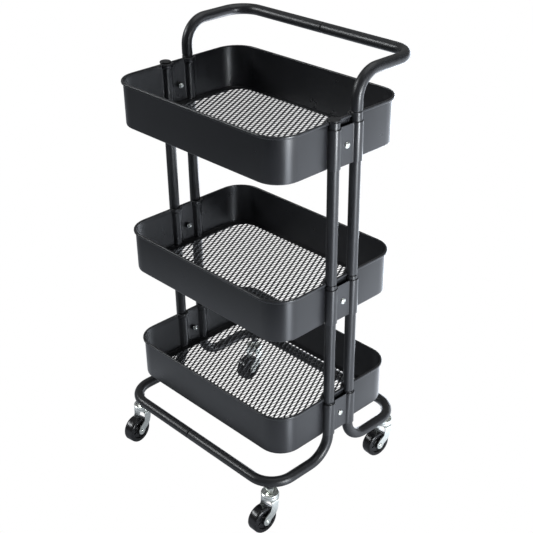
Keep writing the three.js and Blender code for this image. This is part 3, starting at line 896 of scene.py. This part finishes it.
def caster_stem():
    """Threaded stem, hexagon collar above the race and riveted head under the crown."""
    stem = turned(
        [(0.01, 57.0), (4.5, 57.1), (6.0, 57.7), (6.7, 58.8), (6.7, 60.5), (STEM_R, 60.6)]
        + threads(STEM_R, 61, 96, pitch=1.25, depth=0.45) + [(3.2, 97), (0.01, 97)],
        segments=28)
    collar = chamfered_hexagon(COLLAR_LOW, COLLAR_HIGH, COLLAR_FLATS, count_per_side=6,
                               slope=COLLAR_CHAMFER)
    return joined(stem, loft(collar))


def swivel_race():
    """Pressed cup of the swivel: rolled rim, dished top and a lower ring."""
    return turned([
        (4.6, 68), (13.2, 68), (13.6, 66.5), (14.0, 64.9), (15.2, 64.5), (15.9, 64.9),
        (16.0, 65.6), (16.0, 68.0), (15.75, 68.5), (16.0, 69.0), (16.0, 73.2), (15.7, 74.3),
        (15.0, 74.9), (14.2, 75.0), (13.3, 74.8), (12.7, 74.2), (12.2, 73.2), (11.6, 72.7),
        (10.6, 72.5), (4.6, 72.5),
    ], segments=56, closed=True)


def spline(points, t):
    """Value at t of a smooth curve through (t, value) pairs in rising t."""
    if t <= points[0][0]:
        return points[0][1]
    if t >= points[-1][0]:
        return points[-1][1]
    i = max(k for k in range(len(points) - 1) if points[k][0] <= t)

    def slope(k):
        a, b = max(k - 1, 0), min(k + 1, len(points) - 1)
        return (points[b][1] - points[a][1]) / (points[b][0] - points[a][0])

    (t0, v0), (t1, v1) = points[i], points[i + 1]
    h = t1 - t0
    u = (t - t0) / h
    return ((2 * u ** 3 - 3 * u ** 2 + 1) * v0 + (u ** 3 - 2 * u ** 2 + u) * h * slope(i)
            + (3 * u ** 2 - 2 * u ** 3) * v1 + (u ** 3 - u ** 2) * h * slope(i + 1))


def leg_span(z):
    """Front and rear edge of a fork leg at height z, as trail values."""
    drop = AXLE_Z - z
    half = math.sqrt(max(FORK_END_R ** 2 - drop ** 2, 0))
    ahead = TRAIL + half if z < AXLE_Z else spline(LEG_AHEAD, z)
    behind = TRAIL - half
    if z > LEG_BEHIND[0][0]:
        behind = min(behind, spline(LEG_BEHIND, z))
    return behind, ahead


def crown_span(x):
    """Front and rear edge of the crown plate at x: round behind, square ahead."""
    rear = -math.sqrt(max(CROWN_R ** 2 - x * x, CROWN_LEAST_REAR ** 2))
    return rear, FORK_AHEAD


def fork_rows():
    """Rows across the bent blank, from the foot of the left leg to the foot of the right one.

    Each is (middle point x, z, normal x, z, rear edge, front edge).
    """
    rows = []
    bend_z = FORK_TOP - FORK_HALF_SHEET - FORK_BEND
    heights = [AXLE_Z - FORK_END_R * math.cos(PI / 2 * k / FOOT_STEPS)
               for k in range(FOOT_STEPS + 1)]
    heights += [LEG_START_Z + (bend_z - LEG_START_Z) * k / LEG_STEPS
                for k in range(LEG_STEPS + 1)]
    heights[0] += 0.05  # so that the lowest row has some width
    for z in heights:
        rear, ahead = leg_span(z)
        rows.append((-FORK_MIDDLE_X, z, -1, 0, rear, ahead))
    for k in range(1, CROWN_BEND_STEPS + 1):
        a = PI / 2 * k / CROWN_BEND_STEPS
        x = -FORK_MIDDLE_X + FORK_BEND * (1 - math.cos(a))
        z = bend_z + FORK_BEND * math.sin(a)
        rear, ahead = leg_span(FORK_TOP)
        round_rear, _ = crown_span(x)
        mixed = rear + (round_rear - rear) * smooth(k / CROWN_BEND_STEPS)
        rows.append((x, z, -math.cos(a), math.sin(a), mixed, ahead))
    for k in range(1, CROWN_STEPS + 1):
        x = (-FORK_MIDDLE_X + FORK_BEND) * (1 - k / CROWN_STEPS)
        rear, ahead = crown_span(x)
        rows.append((x, bend_z + FORK_BEND, 0, 1, rear, ahead))
    mirrored = [(-x, z, -nx, nz, rear, ahead) for x, z, nx, nz, rear, ahead in rows[:-1]]
    return rows + mirrored[::-1]


def caster_fork():
    """One steel blank bent into two legs and a crown, with real thickness."""
    h, soft = FORK_HALF_SHEET, 0.4
    rings = []
    for x, z, nx, nz, rear, ahead in fork_rows():
        width = ahead - rear
        edge = min(soft, width / 4)
        across = [rear + width * k / WIDTH_STEPS for k in range(1, WIDTH_STEPS)]
        loop = [(rear + edge, h)] + [(trail, h) for trail in across]
        loop += [(ahead - edge, h), (ahead, h - edge), (ahead, -h + edge), (ahead - edge, -h)]
        loop += [(trail, -h) for trail in reversed(across)]
        loop += [(rear + edge, -h), (rear, -h + edge), (rear, h - edge)]
        rings.append([Vector((x + nx * d, -trail, z + nz * d)) for trail, d in loop])
    return loft(rings)


def wheel_axle():
    """Rivet along Z, with a rolled and dished head at each end."""
    reach = AXLE_REACH
    end = [
        (3.0, reach - 2.2), (3.2, reach - 0.2), (4.5, reach - 0.1), (4.6, reach + 0.3),
        (4.5, reach + 0.9), (4.1, reach + 1.35), (3.4, reach + 1.6), (2.9, reach + 1.55),
        (2.5, reach + 0.7), (1.9, reach + 0.5), (1.2, reach + 0.9), (0.01, reach + 1.1),
    ]
    profile = [(r, -z) for r, z in reversed(end)] + end
    return turned(profile, segments=32)


def wheel_shape():
    """Moulded wheel: rounded tread, a raised ring on each face and a dished hub."""
    half = [
        (3.3, 11.4), (6.6, 11.4), (7.4, 11.0), (7.8, 10.2), (8.6, 7.4), (9.6, 6.6), (15.6, 6.4),
        (17.0, 6.8), (17.8, 8.4), (18.3, 9.9), (18.9, 10.4), (20.4, 10.5), (20.7, 10.2),
        (21.1, 10.2), (21.4, 10.5), (23.2, 10.4), (24.4, 9.9), (25.3, 9.0), (25.8, 7.6),
        (26.0, 5.5), (26.0, 2.2),
    ]
    profile = [(r, -z) for r, z in half] + [(r, z) for r, z in reversed(half)]
    shape = turned(profile, segments=72, closed=True)
    ribs = []
    for k in range(HUB_RIBS):
        for way in (-1, 1):
            rib = rib_box(r_in=8.2, r_out=17.6, half_width=0.8, z_in=5.5 * way, z_out=8.0 * way)
            ribs.append(moved(rib, Matrix.Rotation(2 * PI * k / HUB_RIBS, 4, "Z")))
    return joined(shape, *ribs)


def rib_box(r_in, r_out, half_width, z_in, z_out):
    """A hub rib: a bar along X, narrower at its crest."""
    rings = []
    for x in (r_in, r_in + 0.4, r_out - 0.4, r_out):
        crest = z_out if r_in < x < r_out else (z_in + z_out) / 2
        rings.append([
            Vector((x, -half_width, z_in)), Vector((x, half_width, z_in)),
            Vector((x, half_width * 0.75, crest)), Vector((x, -half_width * 0.75, crest)),
        ])
    return loft(rings)


def build_casters():
    """Five pieces at each corner, at the heading of the CAD's wheel axis."""
    upright_x = Matrix.Rotation(PI / 2, 4, "Y")
    for end in ENDS:
        for side in SIDES:
            corner = f"{end}_{side}"
            axis = Vector(joint(f"wheel_spin_{corner}")["axis"])
            swivel = Vector(joint(f"swivel_{corner}")["pos_m"]) / MM
            place = Matrix.Translation((swivel.x, swivel.y, 0)) @ Matrix.Rotation(
                math.atan2(axis.y, axis.x), 4, "Z")
            at_axle = place @ Matrix.Translation((0, -TRAIL, AXLE_Z)) @ upright_x
            pieces = [
                ("stem_zinc", caster_stem(), place, "zinc", "frame", "caster_stem"),
                ("race_zinc", swivel_race(), place, "zinc", "frame", "swivel_race"),
                ("fork_zinc", caster_fork(), place, "zinc", f"swivel_{corner}", "caster_fork"),
                ("axle_zinc", wheel_axle(), at_axle, "zinc", f"swivel_{corner}", "wheel_axle"),
                ("wheel_black", wheel_shape(), at_axle, "tyre", f"wheel_{corner}",
                 "caster_wheel"),
            ]
            for name, shape, matrix, material, body, node in pieces:
                new_piece(f"{name}_{corner}", moved(shape, matrix), material, body,
                          [f"{node}_{corner}"], sharp=32)


# ------------ stage, light and camera

# Places and sizes are in metres from here on.
FLOOR_GLOW, FLOOR_DIFFUSE = 0.90, 0.12
BACKDROP_GLOW = 1.0
STAGE_HALF = 30
DOME_R = 29
DOME_SIDES = 48
DOME_STEPS = 12
DOME_TOP = PI / 2 * 0.99  # elevation of its last ring
SHOWN_FLOOR_Z = -0.0005
BOUNCE_FLOOR_Z = -0.001


def stage_material(name, emission, diffuse=0.0):
    material = bpy.data.materials.new(name)
    material.use_nodes = True
    shader = material.node_tree.nodes["Principled BSDF"]
    shader.inputs["Base Color"].default_value = (diffuse, diffuse, diffuse, 1)
    shader.inputs["Roughness"].default_value = 1
    shader.inputs["Specular IOR Level"].default_value = 0
    shader.inputs["Emission Color"].default_value = (1, 1, 1, 1)
    shader.inputs["Emission Strength"].default_value = emission
    return material


def stage_object(name, shape, material, camera_only):
    verts, faces = shape
    mesh = bpy.data.meshes.new(name)
    mesh.from_pydata(verts, [], faces)
    mesh.materials.append(material)
    obj = bpy.data.objects.new(name, mesh)
    bpy.context.scene.collection.objects.link(obj)
    obj.visible_camera = camera_only
    obj.visible_diffuse = not camera_only
    obj.visible_glossy = not camera_only
    obj.visible_shadow = False
    return obj


# What the object sees of the floor all round it: (degrees anticlockwise from +X, strength).
BOUNCE_ROUND = [
    (-180, 0.2), (-110, 0.2), (-75, 0.03), (-45, 0.03), (-22, 0.3), (-12, 1.8), (-6, 9.0), (2, 9.5),
    (9, 2.0), (14, 1.45), (45, 1.75), (80, 2.2), (98, 6.0), (116, 8.0), (130, 1.2), (150, 0.4),
    (180, 0.3),
]
BOUNCE_TOP = max(level for _, level in BOUNCE_ROUND)
BOUNCE_CENTRE = (0.13, -0.09, 0.0)
# Over distance, as (near, far, value near, value far): two factors on it, and a glow to add.
BOUNCE_RISE = (0.1, 1.3, 0.45, 1.0)
BOUNCE_START = (0.14, 0.33, 0.12, 1.0)
BOUNCE_GLOW = (0.15, 1.25, 0.6, 0.0)
SHADE_HALF = (0.24, 0.22, 1.0)
SHADE_EDGE = (0.75, 1.3)  # where it starts to fade and has gone, times SHADE_HALF
SHADE_LEVEL = 0.45
BOUNCE_TINT = (0.88, 0.94, 1.03, 1)


def vector_math(tree, operation, source, constant=None):
    node = tree.nodes.new("ShaderNodeVectorMath")
    node.operation = operation
    tree.links.new(source, node.inputs[0])
    if constant:
        node.inputs[1].default_value = constant
    return node.outputs["Value" if operation in ("LENGTH", "DOT_PRODUCT") else "Vector"]


def smooth_range(tree, source, *limits):
    """source, eased between the limits that set_range() takes."""
    node = tree.nodes.new("ShaderNodeMapRange")
    node.interpolation_type = "SMOOTHSTEP"
    set_range(node, *limits)
    tree.links.new(source, node.inputs["Value"])
    return node.outputs["Result"]


def calculated(tree, operation, *sources):
    node = tree.nodes.new("ShaderNodeMath")
    node.operation = operation
    for source, socket in zip(sources, node.inputs):
        tree.links.new(source, socket)
    return node.outputs["Value"]


def bounce_round(tree, source):
    """BOUNCE_ROUND at the direction of source, as a share of its highest value."""
    angle = tree.nodes.new("ShaderNodeTexGradient")
    angle.gradient_type = "RADIAL"
    tree.links.new(source, angle.inputs["Vector"])
    curve = tree.nodes.new("ShaderNodeFloatCurve")
    points = curve.mapping.curves[0].points
    for degrees, level in BOUNCE_ROUND[1:-1]:
        points.new(degrees / 360 + 0.5, level / BOUNCE_TOP)
    points[0].location = (0, BOUNCE_ROUND[0][1] / BOUNCE_TOP)
    points[-1].location = (1, BOUNCE_ROUND[-1][1] / BOUNCE_TOP)
    for point in points:
        point.handle_type = "AUTO_CLAMPED"
    curve.mapping.update()
    tree.links.new(angle.outputs["Fac"], curve.inputs["Value"])
    return curve.outputs["Value"]


def bounce_material():
    """Floor light for the object only: bright wedges on its right and behind, dark in front."""
    material = bpy.data.materials.new("floor_bounce")
    material.use_nodes = True
    tree = material.node_tree
    tree.nodes.clear()
    add, link = tree.nodes.new, tree.links.new
    place = add("ShaderNodeTexCoord").outputs["Object"]
    centred = vector_math(tree, "SUBTRACT", place, BOUNCE_CENTRE)
    distance = vector_math(tree, "LENGTH", centred)

    near, far, low, high = BOUNCE_RISE
    rise = smooth_range(tree, distance, near, far, low * BOUNCE_TOP, high * BOUNCE_TOP)
    light = calculated(tree, "MULTIPLY", bounce_round(tree, centred), rise)
    light = calculated(tree, "MULTIPLY", light, smooth_range(tree, distance, *BOUNCE_START))
    light = calculated(tree, "ADD", light, smooth_range(tree, distance, *BOUNCE_GLOW))

    # The shade under the cart.
    absolute = vector_math(tree, "ABSOLUTE", vector_math(tree, "DIVIDE", place, SHADE_HALF))
    axes = add("ShaderNodeSeparateXYZ")
    link(absolute, axes.inputs["Vector"])
    outermost = calculated(tree, "MAXIMUM", axes.outputs["X"], axes.outputs["Y"])
    shade = smooth_range(tree, outermost, *SHADE_EDGE, SHADE_LEVEL, 1.0)

    emission = add("ShaderNodeEmission")
    emission.inputs["Color"].default_value = BOUNCE_TINT
    link(calculated(tree, "MULTIPLY", light, shade), emission.inputs["Strength"])
    link(emission.outputs["Emission"], add("ShaderNodeOutputMaterial").inputs["Surface"])
    return material


def build_stage():
    """A white floor and dome for the camera, and a floor that only lights the object."""
    square = [Vector((x * STAGE_HALF, y * STAGE_HALF, 0))
              for x, y in ((-1, -1), (1, -1), (1, 1), (-1, 1))]
    floor = stage_object("floor", (square, [(0, 1, 2, 3)]),
                         stage_material("floor_white", FLOOR_GLOW, FLOOR_DIFFUSE), True)
    floor.location.z = SHOWN_FLOOR_Z
    bounce = stage_object("floor_bounce", (square, [(0, 1, 2, 3)]), bounce_material(), False)
    bounce.location.z = BOUNCE_FLOOR_Z
    rings = []
    for k in range(DOME_STEPS + 1):
        t = DOME_TOP * k / DOME_STEPS
        circle = round_points(DOME_R * math.cos(t), DOME_SIDES)
        rings.append(flat_ring(circle, DOME_R * math.sin(t)))
    stage_object("backdrop", loft(rings), stage_material("backdrop_white", BACKDROP_GLOW), True)


WORLD_BRIGHT_WAY = (-0.68, 0.64, 0.36)
WORLD_EDGE = (-0.35, 0.9)  # cosine from that way where it is all dark, all bright
WORLD_DARK = 0.12
WORLD_BRIGHT = 0.25
WORLD_TINT = (0.97, 0.985, 1.0, 1)


def build_world():
    """Dim surroundings, a little brighter above and on the side away from the camera."""
    world = bpy.data.worlds.new("studio")
    bpy.context.scene.world = world
    world.use_nodes = True
    tree = world.node_tree
    place = tree.nodes.new("ShaderNodeTexCoord").outputs["Generated"]
    facing = vector_math(tree, "DOT_PRODUCT", place, WORLD_BRIGHT_WAY)
    level = smooth_range(tree, facing, *WORLD_EDGE, WORLD_DARK, WORLD_BRIGHT)
    background = tree.nodes["Background"]
    tree.links.new(level, background.inputs["Strength"])
    background.inputs["Color"].default_value = WORLD_TINT


# Name, place, point aimed at, width and height, watts.
SOFTBOXES = [
    ("softbox_top", (0.1, 0.4, 2.6), (0, 0, 0.4), (2.2, 1.8), 16),
    ("softbox_left", (-2.4, -2.25, 2.3), (0, 0, 0.45), (2.0, 0.7), 62),
    ("softbox_right", (2.3, -0.05, 0.42), (0, 0, 0.3), (0.5, 0.6), 40),
]
SOFTBOX_TINT = (0.95, 0.98, 1.0)


def softbox(name, place, aim, size, power):
    light = bpy.data.lights.new(name, "AREA")
    light.shape = "RECTANGLE"
    light.size, light.size_y = size
    light.energy = power
    light.color = SOFTBOX_TINT
    obj = bpy.data.objects.new(name, light)
    bpy.context.scene.collection.objects.link(obj)
    obj.location = place
    obj.rotation_euler = (Vector(aim) - Vector(place)).to_track_quat("-Z", "Y").to_euler()
    obj.visible_camera = False


CAMERA_AZIMUTH = math.radians(46.814)
CAMERA_ELEVATION = math.radians(30.262)
CAMERA_ROLL = math.radians(-0.92)
CAMERA_DISTANCE = 1.9973
CAMERA_TARGET = Vector((-0.0555, 0.07075, 0.2858))  # y is from the middle of the trays
CAMERA_LENS, CAMERA_SENSOR = 70.53, 36  # millimetres
CAMERA_SHIFT_Y = 0.05


def build_camera():
    az, el = CAMERA_AZIMUTH, CAMERA_ELEVATION
    back = Vector((math.sin(az) * math.cos(el), -math.cos(az) * math.cos(el), math.sin(el)))
    right = Vector((math.cos(az), math.sin(az), 0))
    up = back.cross(right)
    c, s = math.cos(CAMERA_ROLL), math.sin(CAMERA_ROLL)
    rolled_right = right * c + up * s
    rolled_up = up * c - right * s
    camera = bpy.data.cameras.new("camera")
    camera.lens = CAMERA_LENS
    camera.sensor_width = CAMERA_SENSOR
    camera.shift_y = CAMERA_SHIFT_Y
    camera.clip_end = 100
    obj = bpy.data.objects.new("camera", camera)
    bpy.context.scene.collection.objects.link(obj)
    turn = Matrix((rolled_right, rolled_up, back)).transposed().to_4x4()
    target = CAMERA_TARGET + Vector((0, mm_centre("tray_top").y * MM, 0))
    obj.matrix_world = Matrix.Translation(target + back * CAMERA_DISTANCE) @ turn
    bpy.context.scene.camera = obj
    bpy.context.scene.view_settings.view_transform = "Standard"


# ------------ build

build_posts()
build_base()
build_handle()
build_post_caps()
build_trays()
build_mesh_floors()
build_brackets()
build_casters()
build_stage()
build_world()
for box in SOFTBOXES:
    softbox(*box)
build_camera()
